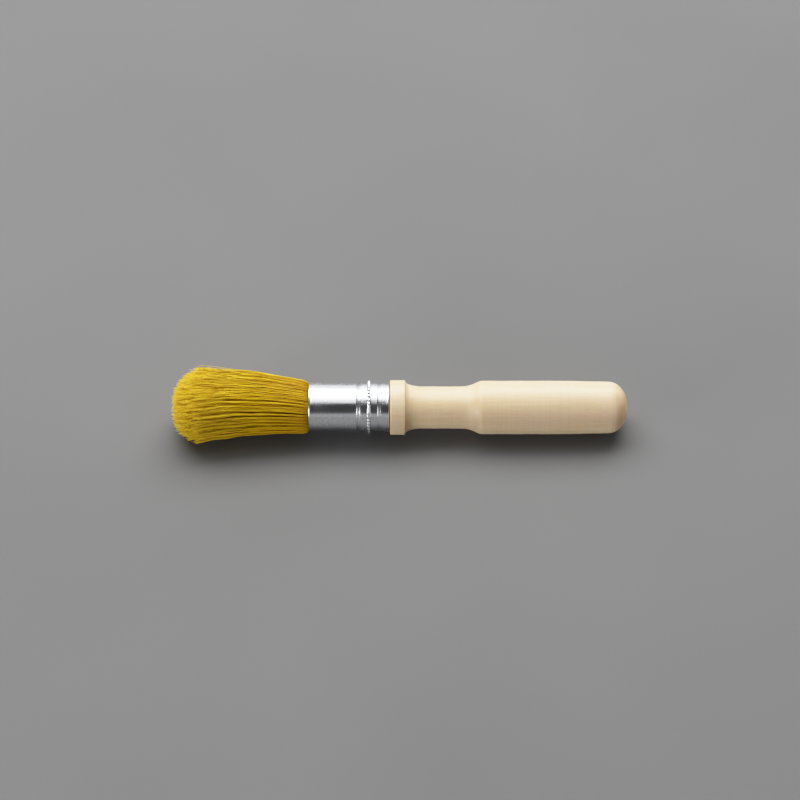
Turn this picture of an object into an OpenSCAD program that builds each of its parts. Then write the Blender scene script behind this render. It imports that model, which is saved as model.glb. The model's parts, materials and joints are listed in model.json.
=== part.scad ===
// Round stencil brush: a knot of stiff bristle set in a rolled metal ferrule on a turned wooden handle.
// The brush lies along X, with the bristles towards -X and the butt of the handle towards +X.
// The origin is on the brush's axis, at the middle of the grip's straight stretch.
// Lengths called "from the mouth" run along the axis from the ferrule's open end towards the butt.

/* [Bristle head] */
// Length of bristle that stands out of the ferrule
bristle_out = 43.2; // [40:0.1:46]
// Widest diameter of the head of bristle
head_d = 24; // [23:0.1:25]
// How far short of the middle lock the inner ring of locks ends
inner_short = 1; // [0:0.1:2]
// How far short of the middle lock the outer ring of locks ends
outer_short = 4.5; // [3:0.1:6]

/* [Ferrule] */
// Length of the ferrule
ferrule_len = 25.6; // [25:0.1:27]
// Outside diameter of the ferrule
ferrule_d = 15.8; // [15.6:0.1:16.2]
// Thickness of the ferrule's metal
ferrule_wall = 0.35; // [0.3:0.05:0.4]
// Depth of the deep crimp groove
deep_groove_depth = 0.4; // [0.3:0.05:0.6]
// Depth of the shallow crimp groove
shallow_groove_depth = 0.3; // [0.2:0.05:0.4]
// How far the knurled bead stands above the ferrule
bead_rise = 0.9; // [0.6:0.1:1.2]
// Width of the knurled bead along the brush
bead_width = 1.1; // [0.9:0.1:1.4]
// Number of knurls round the bead
knurls = 40; // [30:1:48]

/* [Handle] */
// Diameter of the collar next to the ferrule
collar_d = 17.5; // [17:0.1:18]
// Length of the collar
collar_len = 4.9; // [4:0.1:5.5]
// Length of the hollow curve behind the collar
cove_len = 5.8; // [5:0.1:6.5]
// Diameter of the waist
waist_d = 13.5; // [12.8:0.1:14]
// Length of the waist
waist_len = 12.1; // [11:0.1:14]
// Length of the shoulder that swells from the waist to the grip
shoulder_len = 6.9; // [6:0.1:8]
// Diameter of the grip where it is straight
grip_d = 17.1; // [16.8:0.1:17.6]
// Length of the grip's straight stretch
grip_straight_len = 24; // [22:1:26]
// Length of the grip's slight taper behind the straight stretch
grip_taper_len = 16.3; // [15:0.1:18]
// Diameter of the grip where the rounded butt begins
butt_d = 16.5; // [16:0.1:16.8]
// Length of the rounded butt, up to the small flat face at its end
butt_len = 5.4; // [5:0.1:7]
// Diameter of the butt's small flat face, where the handle was parted from its blank
butt_face_d = 7.2; // [2:0.1:9]

/* [Hidden] */

// Smoothness of every turned shape, and of the finer ones in the head
$fn = 96;
lock_fn = 48;
// Clearance left between pieces that are glued or crimped together
glue_gap = 0.02;
// Clearance round a bristle lock's ball end in its cup
cup_gap = 0.05;
// How far a cut runs on past the face it opens
cut_over = 1;

// Ferrule, measured from the mouth
ferrule_r = ferrule_d / 2;
bore_r = ferrule_r - ferrule_wall;
lip_r = 0.28;
// How far the lip's bead stands clear of the bore
lip_clear = 0.02;
deep_groove_at = 15.9;
deep_groove_r = 0.85;
bead_at = 19.2;
shallow_groove_at = 22.5;
shallow_groove_r = 0.6;
knurl_depth = 0.3;

// Locks of bristle: one in the middle, six round it and twelve round those
inner_count = 6;
outer_count = 12;
// A lock's radius at the mouth as a share of the pitch, so that bent locks still pass each other
lock_fill = 0.446;
edge_wall = 0.2;
lock_pitch = (bore_r - edge_wall) / (2 + lock_fill);
lock_r = lock_pitch * lock_fill;
lock_taper = 1.5;
// Steps in each curve of a lock's outline
lock_steps = 8;
// The bend's centre stands this far outside the mouth
bend_out = 0.6;
lock_reach = bristle_out - bend_out;
outer_reach = lock_reach - outer_short;
// The head is widest this far before the outer ring's tips
tip_rounding = 4;
widest_at = outer_reach - tip_rounding;
outer_lean = atan((head_d / 2 - 2 * lock_pitch - lock_r - widest_at * tan(lock_taper)) / widest_at);
inner_lean = outer_lean / 2;

// Depths inside the ferrule, measured from the mouth
root_front = 0.2;
resin_front = 3.5;
root_back = 11.4;
resin_back = 12;
tenon_front = 12.3;

// Handle, measured from the mouth
collar_at = ferrule_len + 0.3;
cove_at = collar_at + collar_len;
waist_at = cove_at + cove_len;
shoulder_at = waist_at + waist_len;
grip_at = shoulder_at + shoulder_len;
taper_at = grip_at + grip_straight_len;
butt_at = taper_at + grip_taper_len;
edge_round = 0.3;
waist_r = waist_d / 2;
collar_r = collar_d / 2;
grip_r = grip_d / 2;
butt_r = butt_d / 2;
butt_face_r = butt_face_d / 2;
// Share of the shoulder that is hollow
hollow_share = 0.7;
// Steps in each curve of the handle's outline
curve_steps = 16;

// Place of the mouth in the brush's frame
mouth_x = -(grip_at + grip_straight_len / 2);

// Stands a profile of radius against length along the brush, with its zero at the mouth
module turned() translate([mouth_x, 0, 0]) rotate([0, 90, 0]) rotate_extrude() children();

// A rod along the brush between two distances from the mouth
module rod(r, from, to) translate([mouth_x + from, 0, 0]) rotate([0, 90, 0]) cylinder(r = r, h = to - from);

// Turn of a lock about the axis. The outer ring is half a step round, so the brush rests on two of its locks.
function inner_turn(i) = i * 360 / inner_count;
function outer_turn(i) = (i - 0.5) * 360 / outer_count;

// Repeats its children at the centre of every lock
module at_locks() {
    children();
    for (i = [1 : inner_count]) rotate([inner_turn(i), 0, 0]) translate([0, 0, lock_pitch]) children();
    for (i = [1 : outer_count]) rotate([outer_turn(i), 0, 0]) translate([0, 0, 2 * lock_pitch]) children();
}

// Outline of the tube with its rolled lip and two crimp grooves
module ferrule_outline() {
    difference() {
        union() {
            translate([bore_r, lip_r + lip_clear]) square([ferrule_wall, ferrule_len - lip_r - lip_clear]);
            translate([bore_r + lip_r + lip_clear, lip_r]) circle(lip_r);
            groove_metal(deep_groove_at, deep_groove_r, deep_groove_depth);
            groove_metal(shallow_groove_at, shallow_groove_r, shallow_groove_depth);
        }
        groove_hollow(deep_groove_at, deep_groove_r, deep_groove_depth);
        groove_hollow(shallow_groove_at, shallow_groove_r, shallow_groove_depth);
    }
}

// The hollow that a groove leaves in the outside of the tube
module groove_hollow(at, r, depth, extra = 0) translate([ferrule_r - depth + r, at]) circle(r + extra);

// The metal that a groove pushes into the bore
module groove_metal(at, r, depth) {
    intersection() {
        groove_hollow(at, r, depth, ferrule_wall);
        translate([0, at - 2 * r]) square([bore_r + ferrule_wall / 2, 4 * r]);
    }
}

// Cross-section of the knurled bead, one point on each crest and one in each valley
module knurl_outline() {
    polygon([
        for (i = [0 : 2 * knurls - 1])
            let (r = ferrule_r + bead_rise - (i % 2) * knurl_depth)
            [r * cos(i * 180 / knurls), r * sin(i * 180 / knurls)]
    ]);
}

// The tube with the ring of knurls standing round it
module ferrule() color("silver") {
    turned() ferrule_outline();
    translate([mouth_x + bead_at - bead_width / 2, 0, 0]) rotate([0, 90, 0]) {
        linear_extrude(bead_width) difference() {
            knurl_outline();
            circle(ferrule_r - ferrule_wall / 2);
        }
    }
}

// A concave quarter turn from one radius at one place to a smaller radius further on
function cove_points(at, len, r_from, r_to) = [
    for (i = [0 : curve_steps])
        let (a = 90 * i / curve_steps)
        [r_from - (r_from - r_to) * sin(a), at + len * (1 - cos(a))]
];

// A swell from one radius to another, hollow at first and then rounded over
function swell_share(t) =
    t < hollow_share ? t * t / hollow_share : 1 - (1 - t) * (1 - t) / (1 - hollow_share);
function swell_points(at, len, r_from, r_to) = [
    for (i = [0 : curve_steps])
        let (t = i / curve_steps)
        [r_from + (r_to - r_from) * swell_share(t), at + len * t]
];

// An elliptical curve that rounds the butt down to its flat face
function dome_points(at, len, r, face_r) = let (turn = acos(face_r / r)) [
    for (i = [0 : curve_steps])
        let (a = turn * i / curve_steps)
        [r * cos(a), at + len * sin(a) / sin(turn)]
];

// Outline of the handle with the tenon that fills the back of the ferrule
module handle_outline() {
    polygon(concat(
        [[0, tenon_front], [bore_r - glue_gap - edge_round, tenon_front]],
        [[bore_r - glue_gap, tenon_front + edge_round], [bore_r - glue_gap, collar_at]],
        [[collar_r - edge_round, collar_at], [collar_r, collar_at + edge_round]],
        [[collar_r, cove_at - edge_round]],
        cove_points(cove_at, cove_len, collar_r - edge_round, waist_r),
        swell_points(shoulder_at, shoulder_len, waist_r, grip_r),
        [[grip_r, taper_at]],
        dome_points(butt_at, butt_len, butt_r, butt_face_r),
        [[0, butt_at + butt_len]]
    ));
}

// The turned handle, its tenon grooved where the ferrule is crimped into it
module handle() color("wheat") turned() difference() {
    handle_outline();
    groove_hollow(deep_groove_at, deep_groove_r, deep_groove_depth, ferrule_wall + glue_gap);
    groove_hollow(shallow_groove_at, shallow_groove_r, shallow_groove_depth, ferrule_wall + glue_gap);
}

// The plug of resin that holds the bristle roots in the ferrule
module setting_resin() color("saddlebrown") difference() {
    rod(bore_r - glue_gap, resin_front, resin_back);
    at_locks() rod(lock_r + glue_gap, resin_front - cut_over, root_back + glue_gap);
}

// The part of each lock inside the ferrule, hollowed at the front for the lock's ball end
module bristle_roots() color("goldenrod") at_locks() turned() difference() {
    translate([0, root_front]) square([lock_r, root_back - root_front]);
    translate([0, -bend_out]) circle(lock_r + cup_gap, $fn = lock_fn);
}

// Outline of a lock: a ball end at zero, a slow swell and a rounded tip
module lock_outline(reach) {
    tip_r = (lock_r + reach * tan(lock_taper)) / (1 + tan(lock_taper));
    polygon(concat(
        [for (a = [0 : 90 / lock_steps : 90]) lock_r * [sin(a), -cos(a)]],
        [for (a = [0 : 90 / lock_steps : 90]) [tip_r * cos(a), reach - tip_r + tip_r * sin(a)]]
    ));
}

// A free lock of bristle on a ring about the axis, turned and leaning as given
module lock(ring, turn, lean, reach) color("gold") {
    rotate([turn, 0, 0]) translate([mouth_x - bend_out, 0, ring * lock_pitch]) rotate([0, lean - 90, 0]) {
        rotate_extrude($fn = lock_fn) lock_outline(reach / cos(lean));
    }
}

// The lock in the middle
module centre_lock() lock(0, 0, 0, lock_reach);

// One of the six locks round the middle one
module inner_lock(i) lock(1, inner_turn(i), inner_lean, lock_reach - inner_short);

// One of the twelve locks of the outer ring
module outer_lock(i) lock(2, outer_turn(i), outer_lean, outer_reach);

handle();
ferrule();
setting_resin();
bristle_roots();
centre_lock();
for (i = [1 : inner_count]) inner_lock(i);
for (i = [1 : outer_count]) outer_lock(i);
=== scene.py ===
"""Looks of the round stencil brush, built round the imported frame. Lengths are in millimetres until a mesh is made."""

import json
import math

import bpy
import numpy as np
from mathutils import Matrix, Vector


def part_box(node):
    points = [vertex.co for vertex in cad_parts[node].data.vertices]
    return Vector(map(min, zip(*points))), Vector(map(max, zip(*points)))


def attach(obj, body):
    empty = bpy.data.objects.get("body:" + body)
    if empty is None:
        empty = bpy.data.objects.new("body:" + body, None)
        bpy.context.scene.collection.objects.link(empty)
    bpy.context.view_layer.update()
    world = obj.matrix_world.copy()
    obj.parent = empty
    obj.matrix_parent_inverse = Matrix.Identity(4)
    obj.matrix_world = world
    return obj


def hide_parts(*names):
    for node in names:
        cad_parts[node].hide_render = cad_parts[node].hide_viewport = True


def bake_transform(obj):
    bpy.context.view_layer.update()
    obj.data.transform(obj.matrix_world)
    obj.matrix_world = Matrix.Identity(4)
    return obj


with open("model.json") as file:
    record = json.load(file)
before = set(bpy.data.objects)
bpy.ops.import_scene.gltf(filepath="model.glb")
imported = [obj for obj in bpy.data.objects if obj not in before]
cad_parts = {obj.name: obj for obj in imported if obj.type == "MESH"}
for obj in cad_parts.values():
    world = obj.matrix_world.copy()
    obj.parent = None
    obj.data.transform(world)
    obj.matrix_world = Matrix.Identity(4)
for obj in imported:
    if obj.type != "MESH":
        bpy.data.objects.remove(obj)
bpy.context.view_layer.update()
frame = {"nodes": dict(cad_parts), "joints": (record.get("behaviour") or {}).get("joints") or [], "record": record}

MM = 0.001
TAU = 2 * math.pi

# Places along the brush: x of the ferrule's mouth and the two ends of the handle
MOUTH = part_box("ferrule")[0].x / MM
FERRULE_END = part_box("ferrule")[1].x / MM
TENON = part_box("handle")[0].x / MM
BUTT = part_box("handle")[1].x / MM
COLLAR_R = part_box("handle")[1].z / MM
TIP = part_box("centre_lock")[0].x / MM
GRIP_R = frame["record"]["mounts"][0]["dims"]["r_mm"]

# Handle
COLLAR_AT = FERRULE_END + 0.3
COLLAR_LEN = 4.9
COVE_LEN = 5.8
WAIST_LEN = 12.1
WAIST_R = 6.75
SHOULDER_LEN = 6.9
HOLLOW_SHARE = 0.7
STRAIGHT_LEN = 24
BUTT_LEN = 5.4
BUTT_R = 8.25
BUTT_FACE_R = 3.6
EDGE_ROUND = 0.35
TENON_SLACK = 0.8
TENON_EDGE = 0.3
HANDLE_SEGMENTS = 144
# Radius of the last ring of points before the axis, at both ends
AXIS_RING_R = 0.8
# Waves that the lathe leaves along the handle: length and height
LATHE_WAVES = ((9.0, 0.018), (3.1, 0.01), (1.3, 0.006))
# How far out of round the handle is: waves in one turn, height and phase
HANDLE_OVAL = ((2, 0.015, 0.7), (3, 0.008, 0))

# Ferrule
FERRULE_R = 7.9
WALL = 0.35
BORE_R = FERRULE_R - WALL
LIP_R = 0.28
LIP_CLEAR = 0.02
# Grooves: distance from the mouth, reach before and after that, and depth
DEEP_GROOVE = (15.65, 0.45, 1.25, 0.30)
SHALLOW_GROOVE = (22.3, 0.45, 0.85, 0.20)
# Rolling rings: pitch and height, where they start and end, how fast they fade and how long they take to vary
RIPPLE = (0.62, 0.014)
RIPPLE_FROM = 16.25
RIPPLE_TO = 25.2
RIPPLE_FADE = 0.8
RIPPLE_VARIES = 2.9
BEAD_AT = 19.2
BEAD_WIDTH = 1.2
BEAD_RISE = 0.95
KNURLS = 40
KNURL_DEPTH = 0.28
POINTS_PER_KNURL = 12
FERRULE_OVAL = ((2, 0.012, 1.1), (5, 0.006, 0.4))

# Hair of the head
HAIR_GRID = 0.24
HAIR_R = 0.102
HAIR_SIDES = 5
HAIR_STEPS = 19
# Thinnest and thickest hair as shares of the usual one, and how much thinner each one's tip is
HAIR_THICKNESS = (0.8, 1.2)
HAIR_TAPER = 0.55
ROOT_DISC_R = BORE_R - 0.17
ROOT_END = -1.0
FLARE_END = 0.45
ROOT_START = -11.0
HEAD_LEN = MOUTH - TIP
LOCK_SHRINK = 0.975
# The head's radius: how far it swells over the lip, how soon, and how much it spreads with length
LIP_SWELL = 1.1
LIP_SWELL_REACH = 0.4
HEAD_SPREAD = 0.102
# How far the table bows the head, in Y and Z, and over what length
HEAD_BOW = (1.1, 0.8)
BOW_LEN = 42
# The dome of the tips: how much shorter the outermost hairs are, and how sharply that sets in
DOME_DEPTH = 8.6
DOME_POWER = 3.3
# How unevenly the hairs are cut: usual scatter, and the most that one is short or long
CUT_SCATTER = 0.4
CUT_LIMITS = (-1.2, 0.7)
# Worn and stray hairs: how many of them, and how much shorter or how far out they are
SHORT_SHARE = 0.10
SHORT_BY = (0.5, 5)
STRAY_SHARE = 0.012
STRAY_BY = (0.6, 1.6)
# Clumps: how many in a lock, how tightly they close, over what length, and how far they open at the tips
CLUMPS_PER_LOCK = 36
CLUMP_PULL = (0.48, 0.76)
CLUMP_CLOSING = 8
CLUMP_OPENS_AT = 30
CLUMP_OPENS_OVER = 12
CLUMP_OPENING = 0.15
# Sideways wander of clumps and of single hairs: height, and shortest and longest wave
CLUMP_SWAY = (0.24, 8, 22)
HAIR_SWAY = (0.16, 5, 14)
SWAY_GROWS_OVER = 12
CLUMP_DRIFT = 0.2
HAIR_DRIFT = 0.13
# How much of a hair's tone it shares with its clump
CLUMP_TONE = 0.4
TABLE_Z = -9.5
TABLE_SOFTNESS = 0.5
SEED = 22

# Camera: degrees above the table, width of the frame at the brush, lens, and what it looks at
CAMERA_ELEVATION = 47
FRAME_WIDTH = 256
LENS = 100
SENSOR = 36
AIM_FROM_MOUTH = 29.1
AIM_ABOVE_AXIS = 2.4
# Table top: half its width in metres, and how many squares it has each way
TABLE_HALF = 2.5
TABLE_SQUARES = 24
# Brightness of the room as light, and of the backdrop as the camera sees it
ROOM = 0.045
BACKDROP = 0.31
# Film: light that shows as white, and what lesser light shows as
FILM_WHITE = 2.0
FILM_RESPONSE = ((0.05, 0.034), (0.3, 0.3), (0.6, 0.6), (1.0, 0.85), (1.5, 0.955))


# Meshes


def mesh_object(name, verts, faces, sharp_angle=40):
    """A smooth-shaded mesh object from points in millimetres."""
    mesh = bpy.data.meshes.new(name)
    mesh.from_pydata((np.asarray(verts) * MM).tolist(), [], faces)
    mesh.polygons.foreach_set("use_smooth", np.ones(len(mesh.polygons), bool))
    if sharp_angle:
        mesh.set_sharp_from_angle(angle=math.radians(sharp_angle))
    mesh.update()
    obj = bpy.data.objects.new(name, mesh)
    bpy.context.scene.collection.objects.link(obj)
    return obj


def ring_faces(rings, segments, closed):
    """Quads between rings of points, joined last to first when the profile is a closed loop."""
    faces = []
    for i in range(rings if closed else rings - 1):
        a, b = i * segments, (i + 1) % rings * segments
        for j in range(segments):
            k = (j + 1) % segments
            faces.append((a + j, b + j, b + k, a + k))
    return faces


def turned_points(x, r, segments):
    """Rings of points round the X axis. r may be one radius for each x, or a table with one for each angle too."""
    angle = np.arange(segments) * TAU / segments
    radius = np.broadcast_to(np.asarray(r, float).reshape(len(x), -1), (len(x), segments))
    along = np.broadcast_to(np.asarray(x, float)[:, None], radius.shape)
    return np.stack([along, radius * np.sin(angle), radius * np.cos(angle)], 2).reshape(-1, 3)


def out_of_round(angle, waves):
    """How far a turned shape strays from round at each angle."""
    return sum(height * np.cos(count * angle + phase) for count, height, phase in waves)


# Turned wooden handle


def corner(x, r, turn_from, size):
    """A rounded quarter corner about the point (x, r)."""
    angles = np.radians(np.linspace(turn_from, turn_from - 90, 6))
    return [(x + size * math.cos(a), r + size * math.sin(a)) for a in angles]


def swell(t):
    """Share of the shoulder's rise: hollow at first and then rounded over."""
    return np.where(t < HOLLOW_SHARE, t * t / HOLLOW_SHARE, 1 - (1 - t) ** 2 / (1 - HOLLOW_SHARE))


def handle_profile():
    """Outline of the handle from the tenon's face to the butt, as x and radius."""
    cove_at = COLLAR_AT + COLLAR_LEN
    waist_at = cove_at + COVE_LEN
    shoulder_at = waist_at + WAIST_LEN
    grip_at = shoulder_at + SHOULDER_LEN
    taper_at = grip_at + STRAIGHT_LEN
    butt_at = BUTT - BUTT_LEN
    tenon_r = BORE_R - TENON_SLACK
    points = [(TENON + 0.01, r) for r in np.linspace(AXIS_RING_R, tenon_r - TENON_EDGE, 5)]
    points += [(TENON + TENON_EDGE, tenon_r), (COLLAR_AT - 0.02, tenon_r)]
    points += [(COLLAR_AT, r) for r in np.linspace(tenon_r + TENON_EDGE, COLLAR_R - EDGE_ROUND, 4)[:-1]]
    points += corner(COLLAR_AT + EDGE_ROUND, COLLAR_R - EDGE_ROUND, 180, EDGE_ROUND)
    points += [(x, COLLAR_R) for x in np.arange(COLLAR_AT + 0.6, cove_at - 0.5, 0.3)]
    points += corner(cove_at - EDGE_ROUND, COLLAR_R - EDGE_ROUND, 90, EDGE_ROUND)
    turn = np.radians(np.linspace(4, 90, 22))
    drop = COLLAR_R - EDGE_ROUND - WAIST_R
    points += list(zip(cove_at + COVE_LEN * (1 - np.cos(turn)), COLLAR_R - EDGE_ROUND - drop * np.sin(turn)))
    points += [(x, WAIST_R) for x in np.arange(waist_at + 0.3, shoulder_at, 0.3)]
    share = np.linspace(0, 1, 28)
    points += list(zip(shoulder_at + SHOULDER_LEN * share, WAIST_R + (GRIP_R - WAIST_R) * swell(share)))
    points += [(x, GRIP_R) for x in np.arange(grip_at + 0.6, taper_at, 0.6)]
    taper = np.linspace(0, 1, 26)
    points += list(zip(taper_at + (butt_at - taper_at) * taper, GRIP_R + (BUTT_R - GRIP_R) * taper**1.3))
    last = math.acos(BUTT_FACE_R / BUTT_R)
    turn = np.linspace(0.04, 0.99, 26) * last
    points += list(zip(butt_at + BUTT_LEN * np.sin(turn) / math.sin(last), BUTT_R * np.cos(turn)))
    points += [(BUTT - 0.04, BUTT_FACE_R - 0.06), (BUTT, BUTT_FACE_R - 0.3), (BUTT, 2), (BUTT, AXIS_RING_R)]
    return np.array(points)


def lathe_marks(x, rng):
    """Slight unevenness that the lathe leaves along the handle."""
    marks = np.zeros(len(x))
    for length, height in LATHE_WAVES:
        marks += height * np.sin(TAU * x / length + rng.uniform(0, TAU))
    return marks


def make_handle():
    """The turned handle, closed at both ends on its axis."""
    rng = np.random.default_rng(SEED)
    profile = handle_profile()
    x, r = profile[:, 0], profile[:, 1]
    segments = HANDLE_SEGMENTS
    worn = lathe_marks(x, rng) * (x > COLLAR_AT + 0.5) * np.clip((BUTT - x) / 4, 0, 1)
    angle = np.arange(segments) * TAU / segments
    oval = out_of_round(angle, HANDLE_OVAL)
    shown = (x > COLLAR_AT)[:, None]
    radius = r[:, None] + worn[:, None] + oval[None, :] * shown * np.clip(r / 4, 0, 1)[:, None]
    verts = turned_points(x, radius, segments)
    first, last = len(verts), len(verts) + 1
    verts = np.vstack([verts, [[x[0], 0, 0], [BUTT, 0, 0]]])
    faces = ring_faces(len(x), segments, False)
    tail = (len(x) - 1) * segments
    for j in range(segments):
        k = (j + 1) % segments
        faces.append((first, j, k))
        faces.append((last, tail + k, tail + j))
    return mesh_object("turned_handle", verts, faces, 50)


# Rolled metal ferrule


def groove_drop(s, groove):
    """How far a rolled groove pushes the metal in at a distance s from the mouth, with a steep and a gentle side."""
    at, before, after, depth = groove
    reach = np.abs(s - at) / np.where(s < at, before, after)
    return depth * np.where(reach < 1, 0.5 + 0.5 * np.cos(math.pi * np.clip(reach, 0, 1)), 0)


def ripple(s):
    """Faint rings that the rolling leaves between the first groove and the ferrule's end."""
    pitch, height = RIPPLE
    inside = np.clip((s - RIPPLE_FROM) / RIPPLE_FADE, 0, 1) * np.clip((RIPPLE_TO - s) / RIPPLE_FADE, 0, 1)
    return height * inside * np.sin(TAU * s / pitch + 0.6 * np.sin(TAU * s / RIPPLE_VARIES))


def ferrule_outside():
    """Places along the outside of the ferrule behind the lip, closer together where it's shaped."""
    length = FERRULE_END - MOUTH
    parts = [np.linspace(0.62, 14.6, 18), np.linspace(14.8, 18.5, 44), np.linspace(18.58, 19.82, 26)]
    parts += [np.linspace(19.9, 24.9, 56), np.linspace(25.1, length - 0.12, 3)]
    return np.concatenate(parts)


def make_ferrule():
    """The ferrule: a thin tube with a rolled lip, two crimp grooves and a knurled bead between them."""
    segments = KNURLS * POINTS_PER_KNURL
    angle = np.arange(segments) * TAU / segments
    length = FERRULE_END - MOUTH
    lip_angle = np.radians(np.linspace(200, 12, 14))
    lip_s = LIP_R + LIP_R * np.cos(lip_angle)
    lip_r = BORE_R + LIP_R + LIP_CLEAR + LIP_R * np.sin(lip_angle)
    s = ferrule_outside()
    tube = FERRULE_R - groove_drop(s, DEEP_GROOVE) - groove_drop(s, SHALLOW_GROOVE) + ripple(s)
    reach = np.clip(np.abs(s - BEAD_AT) / (BEAD_WIDTH / 2), 0, 1)
    bead = np.sqrt(1 - reach**2)
    tooth = np.abs(np.cos(KNURLS * angle / 2)) ** 0.8
    bead_r = BEAD_RISE - KNURL_DEPTH * (1 - tooth)
    outside = tube[:, None] + bead[:, None] * bead_r[None, :]
    end_s = np.array([length - 0.03, length, length, length - 0.03])
    end_r = np.array([FERRULE_R - 0.02, FERRULE_R - 0.09, BORE_R + 0.09, BORE_R + 0.02])
    inner_s = np.concatenate([[length - 0.3, 24], np.linspace(23.4, 21.6, 9), [20]])
    inner_s = np.concatenate([inner_s, np.linspace(17.1, 15, 11), np.linspace(13, 0.7, 3)])
    inner_r = BORE_R - groove_drop(inner_s, DEEP_GROOVE) - groove_drop(inner_s, SHALLOW_GROOVE)
    rows = [np.repeat(lip_r[:, None], segments, 1), outside]
    rows += [np.repeat(np.concatenate([end_r, inner_r])[:, None], segments, 1)]
    x = MOUTH + np.concatenate([lip_s, s, end_s, inner_s])
    radius = np.vstack(rows) + out_of_round(angle, FERRULE_OVAL)[None, :]
    verts = turned_points(x, radius, segments)
    return mesh_object("rolled_ferrule", verts, ring_faces(len(x), segments, True), 55)


# Hair of the head


def head_radius(d):
    """Radius of the head at a distance d outside the mouth."""
    out = np.clip(d, 0, None)
    return ROOT_DISC_R + LIP_SWELL * (1 - np.exp(-out / LIP_SWELL_REACH)) + HEAD_SPREAD * out


def head_lean(d):
    """How far the head's middle is pushed back and up by the table it lies on, in Y and Z."""
    bow = np.sin(math.pi * np.clip(d / BOW_LEN, 0, 1)) ** 0.8
    return bow[..., None] * np.array(HEAD_BOW)


def pressed(z):
    """Heights of hairs that the table stops from going lower, rounded off towards it."""
    return TABLE_Z + TABLE_SOFTNESS * np.logaddexp(0, (z - TABLE_Z) / TABLE_SOFTNESS)


def hair_length(share):
    """Length of a hair whose root stands at a share of the root disc's radius."""
    return HEAD_LEN - DOME_DEPTH * share**DOME_POWER


def root_grid(rng):
    """Roots of the hairs: an uneven hexagonal grid over the disc inside the ferrule."""
    n = int(ROOT_DISC_R / HAIR_GRID) + 3
    rows, columns = np.meshgrid(np.arange(-n, n), np.arange(-n, n), indexing="ij")
    y = (columns + 0.5 * (rows % 2)) * HAIR_GRID
    z = rows * HAIR_GRID * math.sqrt(0.75)
    roots = np.stack([y.ravel(), z.ravel()], 1)
    roots = roots + rng.uniform(-0.3, 0.3, roots.shape) * HAIR_GRID
    return roots[np.hypot(roots[:, 0], roots[:, 1]) < ROOT_DISC_R]


def wave(d, rng, height, shortest, longest):
    """A sideways wander for each line of distances, in Y and Z, growing from nothing at the mouth."""
    count = len(d)
    grow = np.clip(d / SWAY_GROWS_OVER, 0, 1) * np.clip(d / HEAD_LEN, 0.25, None)
    total = np.zeros(d.shape + (2,))
    for axis in range(2):
        length = rng.uniform(shortest, longest, (count, 1))
        phase = rng.uniform(0, TAU, (count, 1))
        total[..., axis] = height * grow * (np.sin(TAU * d / length + phase) - np.sin(phase))
    return total


def hair_lengths(share, rng):
    """Lengths of hairs cut to one dome, a few of them worn short."""
    count = len(share)
    length = hair_length(share) + np.clip(rng.normal(0, CUT_SCATTER, count), *CUT_LIMITS)
    short = rng.random(count) < SHORT_SHARE
    return length - short * rng.uniform(*SHORT_BY, count)


def hair_paths(roots, rng):
    """Centre lines of one lock's hairs, as points by hair and step, with each step's share and each hair's tone."""
    count = len(roots)
    share = np.hypot(roots[:, 0], roots[:, 1]) / ROOT_DISC_R
    length = hair_lengths(share, rng)
    spread = np.linspace(0, 1, HAIR_STEPS - 1) ** 1.1
    beyond = FLARE_END + (length[:, None] - FLARE_END) * spread[None, :]
    d = np.concatenate([np.broadcast_to([ROOT_END, 0.0], (count, 2)), beyond], 1)
    step = np.clip(d / length[:, None], 0, 1)
    out = np.clip(d / HEAD_LEN, 0, None)

    centres = roots[rng.choice(count, CLUMPS_PER_LOCK, replace=False)]
    clump = np.argmin(np.linalg.norm(roots[:, None] - centres[None], axis=2), axis=1)
    middle = np.array([roots[clump == c].mean(0) for c in range(CLUMPS_PER_LOCK)])
    pull = rng.uniform(*CLUMP_PULL, CLUMPS_PER_LOCK)[clump]
    closing = np.clip((d - ROOT_END) / CLUMP_CLOSING, 0, 1) ** 0.9
    closing = closing * (1 - CLUMP_OPENING * np.clip((d - CLUMP_OPENS_AT) / CLUMP_OPENS_OVER, 0, 1))
    offset = (roots - middle[clump])[:, None, :] * (1 - pull[:, None] * closing)[..., None]
    place = middle[clump][:, None, :] + offset
    place = place * (head_radius(d) / ROOT_DISC_R)[..., None]

    clump_d = np.linspace(0, HEAD_LEN + 2, 60)
    sway = wave(np.tile(clump_d, (CLUMPS_PER_LOCK, 1)), rng, *CLUMP_SWAY)
    for c in range(CLUMPS_PER_LOCK):
        for axis in range(2):
            place[clump == c, :, axis] += np.interp(np.clip(d[clump == c], 0, None), clump_d, sway[c, :, axis])
    drift = rng.normal(0, 1, (CLUMPS_PER_LOCK, 2))[clump]
    place += CLUMP_DRIFT * drift[:, None, :] * (out**1.5)[..., None]
    place += wave(d, rng, *HAIR_SWAY)
    place += HAIR_DRIFT * rng.normal(0, 1, (count, 1, 2)) * (out**2)[..., None]
    stray = (rng.random(count) < STRAY_SHARE) * (share > 0.8)
    away = roots / np.linalg.norm(roots, axis=1, keepdims=True)
    place += away[:, None, :] * ((stray * rng.uniform(*STRAY_BY, count))[:, None] * out**2)[..., None]
    place += head_lean(d)
    place[..., 1] = pressed(place[..., 1])
    points = np.concatenate([(MOUTH - d)[..., None], place], 2)
    tone = CLUMP_TONE * rng.random(CLUMPS_PER_LOCK)[clump] + (1 - CLUMP_TONE) * rng.random(count)
    return points, step, tone


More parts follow.
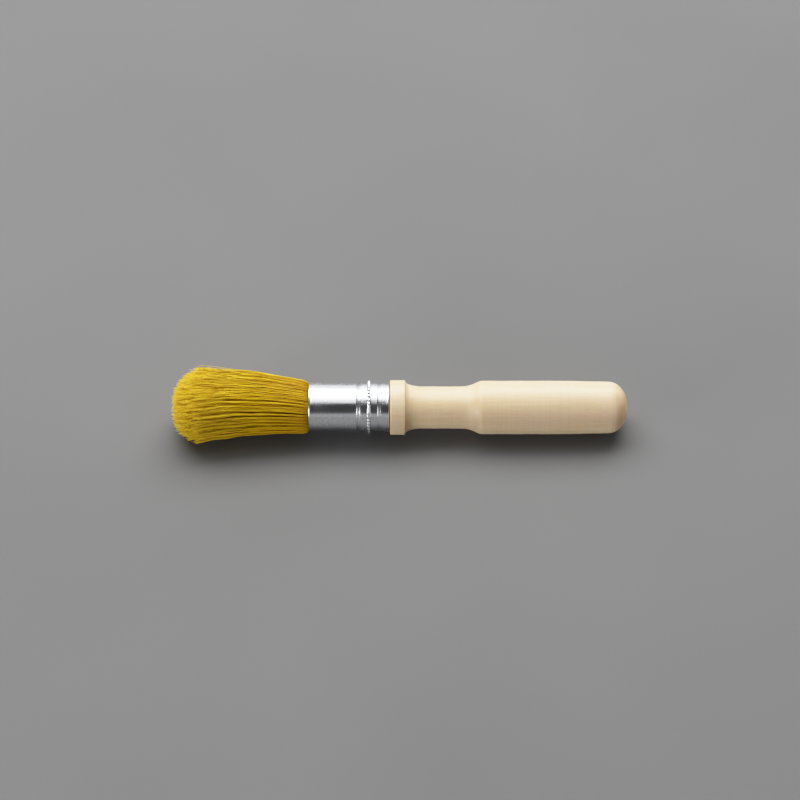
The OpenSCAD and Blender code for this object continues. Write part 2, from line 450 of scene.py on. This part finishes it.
def tubes(points, radius, sides):
    """Closed tubes along lines of points that run close to the X axis, with a pointed far end."""
    hairs, steps = points.shape[:2]
    angle = np.arange(sides) * TAU / sides
    circle = np.stack([np.zeros(sides), np.cos(angle), np.sin(angle)], 1)
    rings = points[:, :, None, :] + radius[:, :, None, None] * circle[None, None]
    tips = points[:, -1] + (points[:, -1] - points[:, -2]) * 0.04
    verts = np.concatenate([rings.reshape(hairs, -1, 3), tips[:, None]], 1)
    per_hair = steps * sides + 1
    pattern = []
    for i in range(steps - 1):
        for j in range(sides):
            k = (j + 1) % sides
            pattern.append((i * sides + j, i * sides + k, (i + 1) * sides + k, (i + 1) * sides + j))
    last = (steps - 1) * sides
    pattern += [(last + j, last + (j + 1) % sides, per_hair - 1) for j in range(sides)]
    pattern.append(tuple(reversed(range(sides))))
    faces = []
    for h in range(hairs):
        start = h * per_hair
        faces += [tuple(start + v for v in face) for face in pattern]
    return verts.reshape(-1, 3), faces


def paint(obj, name, values):
    """Stores a number for each point of a mesh, which its material reads."""
    attribute = obj.data.attributes.new(name, "FLOAT", "POINT")
    attribute.data.foreach_set("value", np.ascontiguousarray(values, np.float32).ravel())


def make_lock(name, roots, rng):
    """One lock's hairs as a single piece."""
    points, step, tone = hair_paths(roots, rng)
    count, steps = step.shape
    thick = HAIR_R * rng.uniform(*HAIR_THICKNESS, (count, 1))
    radius = thick * (1 - HAIR_TAPER * step**4)
    verts, faces = tubes(points, radius, HAIR_SIDES)
    lock = mesh_object(name, verts, faces, 0)
    along = np.concatenate([np.repeat(step, HAIR_SIDES, 1), np.ones((count, 1))], 1)
    paint(lock, "tone", np.repeat(tone, steps * HAIR_SIDES + 1))
    paint(lock, "along", along)
    return lock


def make_roots(roots):
    """The part of every hair that is buried in the ferrule."""
    count = len(roots)
    points = np.zeros((count, 2, 3))
    points[:, 0, 0] = MOUTH - ROOT_START
    points[:, 1, 0] = MOUTH - ROOT_END + 0.03
    points[:, :, 1:] = roots[:, None, :]
    verts, faces = tubes(points, np.full((count, 2), HAIR_R), 4)
    return mesh_object("hair_roots", verts, faces, 0)


def make_head():
    """Every lock of the head and the roots behind them."""
    rng = np.random.default_rng(SEED)
    roots = root_grid(rng)
    centres = np.array([j["pos_m"][1:] for j in frame["joints"]]) / MM
    owner = np.argmin(np.linalg.norm(roots[:, None] - centres[None], axis=2), axis=1)
    roots = centres[owner] + (roots - centres[owner]) * LOCK_SHRINK
    bodies = frame["record"]["behaviour"]["bodies"]
    locks = []
    for i, joint in enumerate(frame["joints"]):
        node = bodies[joint["child"]][0]
        lock = make_lock(f"hair_{node}", roots[owner == i], rng)
        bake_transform(lock)
        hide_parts(node)
        locks.append(lock)
    return locks, make_roots(roots)


# Materials


class Surface:
    """A node material with its main shader and short calls to add nodes to it."""

    def __init__(self, name):
        self.material = bpy.data.materials.new(name)
        self.material.use_nodes = True
        self.tree = self.material.node_tree
        self.shader = self.tree.nodes["Principled BSDF"]
        self.place = self.add("ShaderNodeTexCoord").outputs["Object"]

    def add(self, kind, **settings):
        node = self.tree.nodes.new(kind)
        for key, value in settings.items():
            setattr(node, key, value)
        return node

    def link(self, source, node, socket):
        self.tree.links.new(source, node.inputs[socket])

    def set(self, **values):
        for key, value in values.items():
            self.shader.inputs[key.replace("_", " ")].default_value = value

    def feed(self, source, socket):
        self.link(source, self.shader, socket)

    def noise(self, scale, size=1.0, detail=3.0, rough=0.5):
        """Noise stretched by a scale for each axis, in features per metre."""
        mapping = self.add("ShaderNodeMapping")
        mapping.inputs["Scale"].default_value = scale
        self.link(self.place, mapping, "Vector")
        noise = self.add("ShaderNodeTexNoise")
        noise.inputs["Scale"].default_value = size
        noise.inputs["Detail"].default_value = detail
        noise.inputs["Roughness"].default_value = rough
        self.link(mapping.outputs[0], noise, "Vector")
        return noise.outputs["Fac"]

    def span(self, source, low, high, to_low=0.0, to_high=1.0):
        """Maps a range of numbers to another, held at its ends."""
        node = self.add("ShaderNodeMapRange")
        for socket, value in zip(("From Min", "From Max", "To Min", "To Max"), (low, high, to_low, to_high)):
            node.inputs[socket].default_value = value
        self.link(source, node, "Value")
        return node.outputs[0]

    def mix(self, factor, a, b, blend_type="MIX"):
        """Mixes two colours, each a socket or three numbers."""
        node = self.add("ShaderNodeMix", data_type="RGBA", blend_type=blend_type)
        for socket, value in ((0, factor), (6, a), (7, b)):
            if isinstance(value, bpy.types.NodeSocket):
                self.link(value, node, socket)
            else:
                node.inputs[socket].default_value = value if socket == 0 else (*value, 1)
        return node.outputs[2]

    def maths(self, operation, a, b=0.0):
        node = self.add("ShaderNodeMath", operation=operation)
        for socket, value in enumerate((a, b)):
            if isinstance(value, bpy.types.NodeSocket):
                self.link(value, node, socket)
            else:
                node.inputs[socket].default_value = value
        return node.outputs[0]

    def bump(self, height, strength, distance, before=None):
        node = self.add("ShaderNodeBump")
        node.inputs["Strength"].default_value = strength
        node.inputs["Distance"].default_value = distance
        self.link(height, node, "Height")
        if before is not None:
            self.link(before, node, "Normal")
        return node.outputs[0]


def wood_material():
    """Pale close-grained hardwood, turned and lacquered, warmer where the grain's ends show."""
    s = Surface("lacquered_wood")
    grain = s.noise((45, 900, 900), detail=5, rough=0.55)
    fine = s.noise((220, 5200, 5200), detail=2)
    cloud = s.noise((25, 90, 90), detail=2)
    turning = s.noise((1500, 0, 0), detail=4, rough=0.7)
    colour = s.mix(s.span(grain, 0.35, 0.68), (0.89, 0.735, 0.515), (0.82, 0.65, 0.415))
    colour = s.mix(s.span(cloud, 0.35, 0.7, 0, 0.8), colour, (0.86, 0.68, 0.50))
    colour = s.mix(s.span(fine, 0.58, 0.74, 0, 0.4), colour, (0.58, 0.40, 0.21))
    colour = s.mix(s.span(turning, 0.5, 0.72, 0, 0.26), colour, (0.60, 0.42, 0.23))
    geometry = s.add("ShaderNodeNewGeometry")
    normal = s.add("ShaderNodeSeparateXYZ")
    s.link(geometry.outputs["Normal"], normal, 0)
    end_grain = s.span(s.maths("ABSOLUTE", normal.outputs[0]), 0.3, 0.85, 0, 0.75)
    colour = s.mix(end_grain, colour, (0.60, 0.39, 0.20))
    colour = s.mix(s.span(geometry.outputs["Pointiness"], 0.53, 0.62, 0, 0.3), colour, (0.60, 0.42, 0.25))
    s.feed(colour, "Base Color")
    s.feed(s.span(cloud, 0.3, 0.7, 0.42, 0.55), "Roughness")
    s.set(Coat_Weight=0.7, Coat_Roughness=0.42, Coat_IOR=1.6, Specular_IOR_Level=0.3, Diffuse_Roughness=1.0)
    s.set(Subsurface_Weight=0.4, Subsurface_Radius=(1.0, 0.75, 0.5), Subsurface_Scale=0.004)
    bump = s.bump(grain, 0.25, 0.00006)
    bump = s.bump(turning, 0.3, 0.00004, bump)
    s.feed(bump, "Normal")
    return s.material


def ferrule_material():
    """Bright rolled aluminium with fine lines round it, slight smudges and painted shade in its grooves."""
    s = Surface("bright_aluminium")
    lines = s.noise((9000, 0, 0), detail=4, rough=0.7)
    bands = s.noise((900, 0, 0), detail=2)
    smudge = s.noise((160, 160, 160), detail=3)
    colour = s.mix(s.span(lines, 0.4, 0.75, 0, 0.5), (0.88, 0.895, 0.925), (0.77, 0.79, 0.83))
    # Painted shade: the metal's colour darkens in the grooves and other hollows, where shade falls
    hollow = s.span(s.add("ShaderNodeNewGeometry").outputs["Pointiness"], 0.48, 0.42, 0, 0.6)
    s.feed(s.mix(hollow, colour, (0.30, 0.29, 0.28)), "Base Color")
    s.set(Metallic=1.0, Anisotropic=0.25)
    rough = s.maths("ADD", s.span(smudge, 0.35, 0.7, 0.18, 0.26), s.span(lines, 0.3, 0.8, 0.0, 0.08))
    s.feed(rough, "Roughness")
    bump = s.bump(bands, 0.3, 0.00008)
    bump = s.bump(lines, 0.18, 0.00002, bump)
    s.feed(bump, "Normal")
    return s.material


def bristle_material():
    """Dyed bristle: each hair its own shade, darker at the root and paler at the tip, partly from the dye and partly as
    painted shade near the root and painted light at the tips.
    """
    s = Surface("dyed_bristle")
    tone = s.add("ShaderNodeAttribute", attribute_name="tone").outputs["Fac"]
    along = s.add("ShaderNodeAttribute", attribute_name="along").outputs["Fac"]
    streak = s.noise((30, 700, 700), detail=2)
    colour = s.mix(s.span(tone, 0.0, 1.0), (0.80, 0.53, 0.008), (0.74, 0.55, 0.013))
    colour = s.mix(s.span(tone, 0.55, 0.9, 0, 0.8), colour, (0.47, 0.235, 0.004))
    colour = s.mix(s.span(streak, 0.35, 0.7, 0, 0.45), colour, (0.92, 0.68, 0.02))
    # Darker towards the root: partly the dye, partly painted shade where the hairs crowd into the ferrule's mouth
    colour = s.mix(s.span(along, 0.5, 0.0, 0, 0.5), colour, (0.56, 0.28, 0.008))
    # Brighter towards the tip: partly paler tips, partly painted light standing in for the light that the tips catch
    colour = s.mix(s.span(along, 0.55, 1.0, 0, 0.42), colour, (0.97, 0.74, 0.09))
    s.feed(colour, "Base Color")
    s.feed(s.span(tone, 0, 1, 0.30, 0.42), "Roughness")
    s.set(Specular_IOR_Level=0.3)
    s.feed(s.bump(s.noise((2500, 9000, 9000), detail=2), 0.2, 0.00002), "Normal")
    return s.material


def resin_material():
    """Set glue, brown and glossy."""
    s = Surface("set_resin")
    cloud = s.noise((300, 300, 300), detail=3)
    s.feed(s.mix(s.span(cloud, 0.35, 0.65), (0.34, 0.19, 0.06), (0.22, 0.11, 0.03)), "Base Color")
    s.set(Roughness=0.25)
    s.feed(s.bump(cloud, 0.2, 0.0001), "Normal")
    return s.material


def floor_material():
    """Plain grey paper that fades into the backdrop far from the brush, for the camera only."""
    s = Surface("grey_paper")
    cloud = s.noise((9, 9, 9), detail=2)
    s.feed(s.mix(s.span(cloud, 0.3, 0.7), (0.172, 0.172, 0.172), (0.183, 0.183, 0.183)), "Base Color")
    s.set(Roughness=0.75, Specular_IOR_Level=0.25)
    away = s.add("ShaderNodeVectorMath", operation="LENGTH")
    s.link(s.place, away, 0)
    seen = s.add("ShaderNodeLightPath").outputs["Is Camera Ray"]
    fade = s.maths("MULTIPLY", s.span(away.outputs["Value"], 0.35, 1.1), seen)
    backdrop = s.add("ShaderNodeEmission")
    backdrop.inputs["Color"].default_value = (BACKDROP, BACKDROP, BACKDROP, 1)
    join = s.add("ShaderNodeMixShader")
    for source, socket in ((fade, 0), (s.shader.outputs[0], 1), (backdrop.outputs[0], 2)):
        s.link(source, join, socket)
    s.link(join.outputs[0], s.tree.nodes["Material Output"], "Surface")
    return s.material


def dress(obj, material):
    """Gives a piece one material."""
    obj.data.materials.clear()
    obj.data.materials.append(material)


# Studio


def side_points(objects):
    """x and z of every point of the pieces, in metres."""
    clouds = []
    for obj in objects:
        co = np.empty(len(obj.data.vertices) * 3, np.float32)
        obj.data.vertices.foreach_get("co", co)
        clouds.append(co.reshape(-1, 3)[:, [0, 2]])
    return np.vstack(clouds)


def resting_line(objects):
    """Height and slope of the table on which both the head and the handle rest."""
    points = side_points(objects)
    head = points[points[:, 0] < MOUTH * MM]
    rest = points[points[:, 0] >= MOUTH * MM]
    low, high = -0.1, 0.1
    for _ in range(40):
        slope = (low + high) / 2
        if np.percentile(head[:, 1] - slope * head[:, 0], 0.05) < (rest[:, 1] - slope * rest[:, 0]).min():
            low = slope
        else:
            high = slope
    return (rest[:, 1] - slope * rest[:, 0]).min(), slope


def make_floor(objects, material):
    """A wide plain table top that touches the head and the butt of the handle."""
    height, slope = resting_line(objects)
    steps = TABLE_SQUARES
    axis = np.linspace(-TABLE_HALF, TABLE_HALF, steps + 1)
    x, y = np.meshgrid(axis, axis, indexing="ij")
    verts = np.stack([x, y, height + slope * x], 2).reshape(-1, 3) / MM
    faces = []
    for i in range(steps):
        for j in range(steps):
            a = i * (steps + 1) + j
            faces.append((a, a + steps + 1, a + steps + 2, a + 1))
    floor = mesh_object("table_top", verts, faces, 0)
    dress(floor, material)


def aim(obj, place, target):
    """Puts a light or camera at a place, looking at a target."""
    obj.location = place
    direction = np.asarray(target) - np.asarray(place)
    obj.rotation_mode = "QUATERNION"
    obj.rotation_quaternion = Vector(direction).to_track_quat("-Z", "Y")
    bpy.context.scene.collection.objects.link(obj)


def softbox(name, azimuth, elevation, distance, size, power):
    """A rectangular light aimed at the brush's middle. Azimuth is 0 at the camera's side and grows to the left."""
    lamp = bpy.data.lights.new(name, "AREA")
    lamp.shape = "RECTANGLE"
    lamp.size, lamp.size_y = size
    lamp.energy = power
    turn, rise = math.radians(azimuth), math.radians(elevation)
    middle = np.array([(BUTT + TIP) / 2 * MM, 0, 0])
    way = np.array([-math.sin(turn) * math.cos(rise), -math.cos(turn) * math.cos(rise), math.sin(rise)])
    box = bpy.data.objects.new(name, lamp)
    box.visible_camera = False
    aim(box, middle + way * distance, middle)


def make_lights():
    """Wide soft lights behind and above, a narrow one overhead for the metal, and small low ones all round."""
    softbox("rear_softbox", 170, 57, 1.4, (2.2, 0.95), 28.5)
    softbox("rear_spread", 170, 63, 1.4, (2.4, 1.7), 14)
    softbox("rear_panel", 172, 16, 1.4, (3.2, 0.6), 5.5)
    softbox("overhead_strip", 0, 90, 0.9, (0.14, 0.78), 0.6)
    softbox("left_fill", 66, 7, 0.9, (0.45, 0.3), 2.4)
    softbox("left_spot", 54, 9, 0.9, (0.16, 0.3), 1.7)
    softbox("right_fill", -50, 14, 0.9, (0.6, 0.55), 1.25)
    softbox("front_glow", 0, 10, 0.9, (1.6, 0.3), 0.47)
    softbox("right_rim", -125, 7, 1.2, (0.5, 0.3), 2.4)


def make_world():
    """A dim even room, shown to the camera as a pale backdrop."""
    world = bpy.data.worlds.new("studio")
    bpy.context.scene.world = world
    world.use_nodes = True
    tree = world.node_tree
    path = tree.nodes.new("ShaderNodeLightPath")
    shade = tree.nodes.new("ShaderNodeMapRange")
    shade.inputs["To Min"].default_value = ROOM
    shade.inputs["To Max"].default_value = BACKDROP
    tree.links.new(path.outputs["Is Camera Ray"], shade.inputs["Value"])
    tree.links.new(shade.outputs[0], tree.nodes["Background"].inputs["Color"])


def make_camera():
    """The camera: level with the brush's length across the frame, looking down on it from the front."""
    camera = bpy.data.objects.new("camera", bpy.data.cameras.new("camera"))
    elevation = math.radians(CAMERA_ELEVATION)
    camera.data.lens = LENS
    camera.data.sensor_width = SENSOR
    distance = FRAME_WIDTH * MM * LENS / SENSOR
    up = np.array([0, math.sin(elevation), math.cos(elevation)])
    back = np.array([0, -math.cos(elevation), math.sin(elevation)])
    target = np.array([(MOUTH + AIM_FROM_MOUTH) * MM, 0, 0]) + up * AIM_ABOVE_AXIS * MM
    aim(camera, target + back * distance, target)
    camera.data.clip_start = 0.01
    bpy.context.scene.camera = camera


def set_film():
    """A camera's response to light: shadows a little deeper, and highlights that roll off instead of clipping."""
    settings = bpy.context.scene.view_settings
    settings.view_transform = "Standard"
    settings.use_curve_mapping = True
    mapping = settings.curve_mapping
    mapping.white_level = (FILM_WHITE, FILM_WHITE, FILM_WHITE)
    curve = mapping.curves[3]
    for light, shown in FILM_RESPONSE:
        curve.points.new(light / FILM_WHITE, shown)
    mapping.update()


# Assembly

handle = make_handle()
ferrule = make_ferrule()
locks, hair_roots = make_head()

bristle = bristle_material()
for piece in [*locks, hair_roots]:
    dress(piece, bristle)
dress(handle, wood_material())
dress(ferrule, ferrule_material())
dress(frame["nodes"]["setting_resin"], resin_material())

for piece, node, slot in (
    (handle, "handle", "wood"),
    (ferrule, "ferrule", "ferrule_metal"),
    (hair_roots, "bristle_roots", "bristle"),
):
    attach(piece, "brush")
    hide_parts(node)

make_floor([handle, ferrule, *locks], floor_material())
make_lights()
make_world()
make_camera()
set_film()
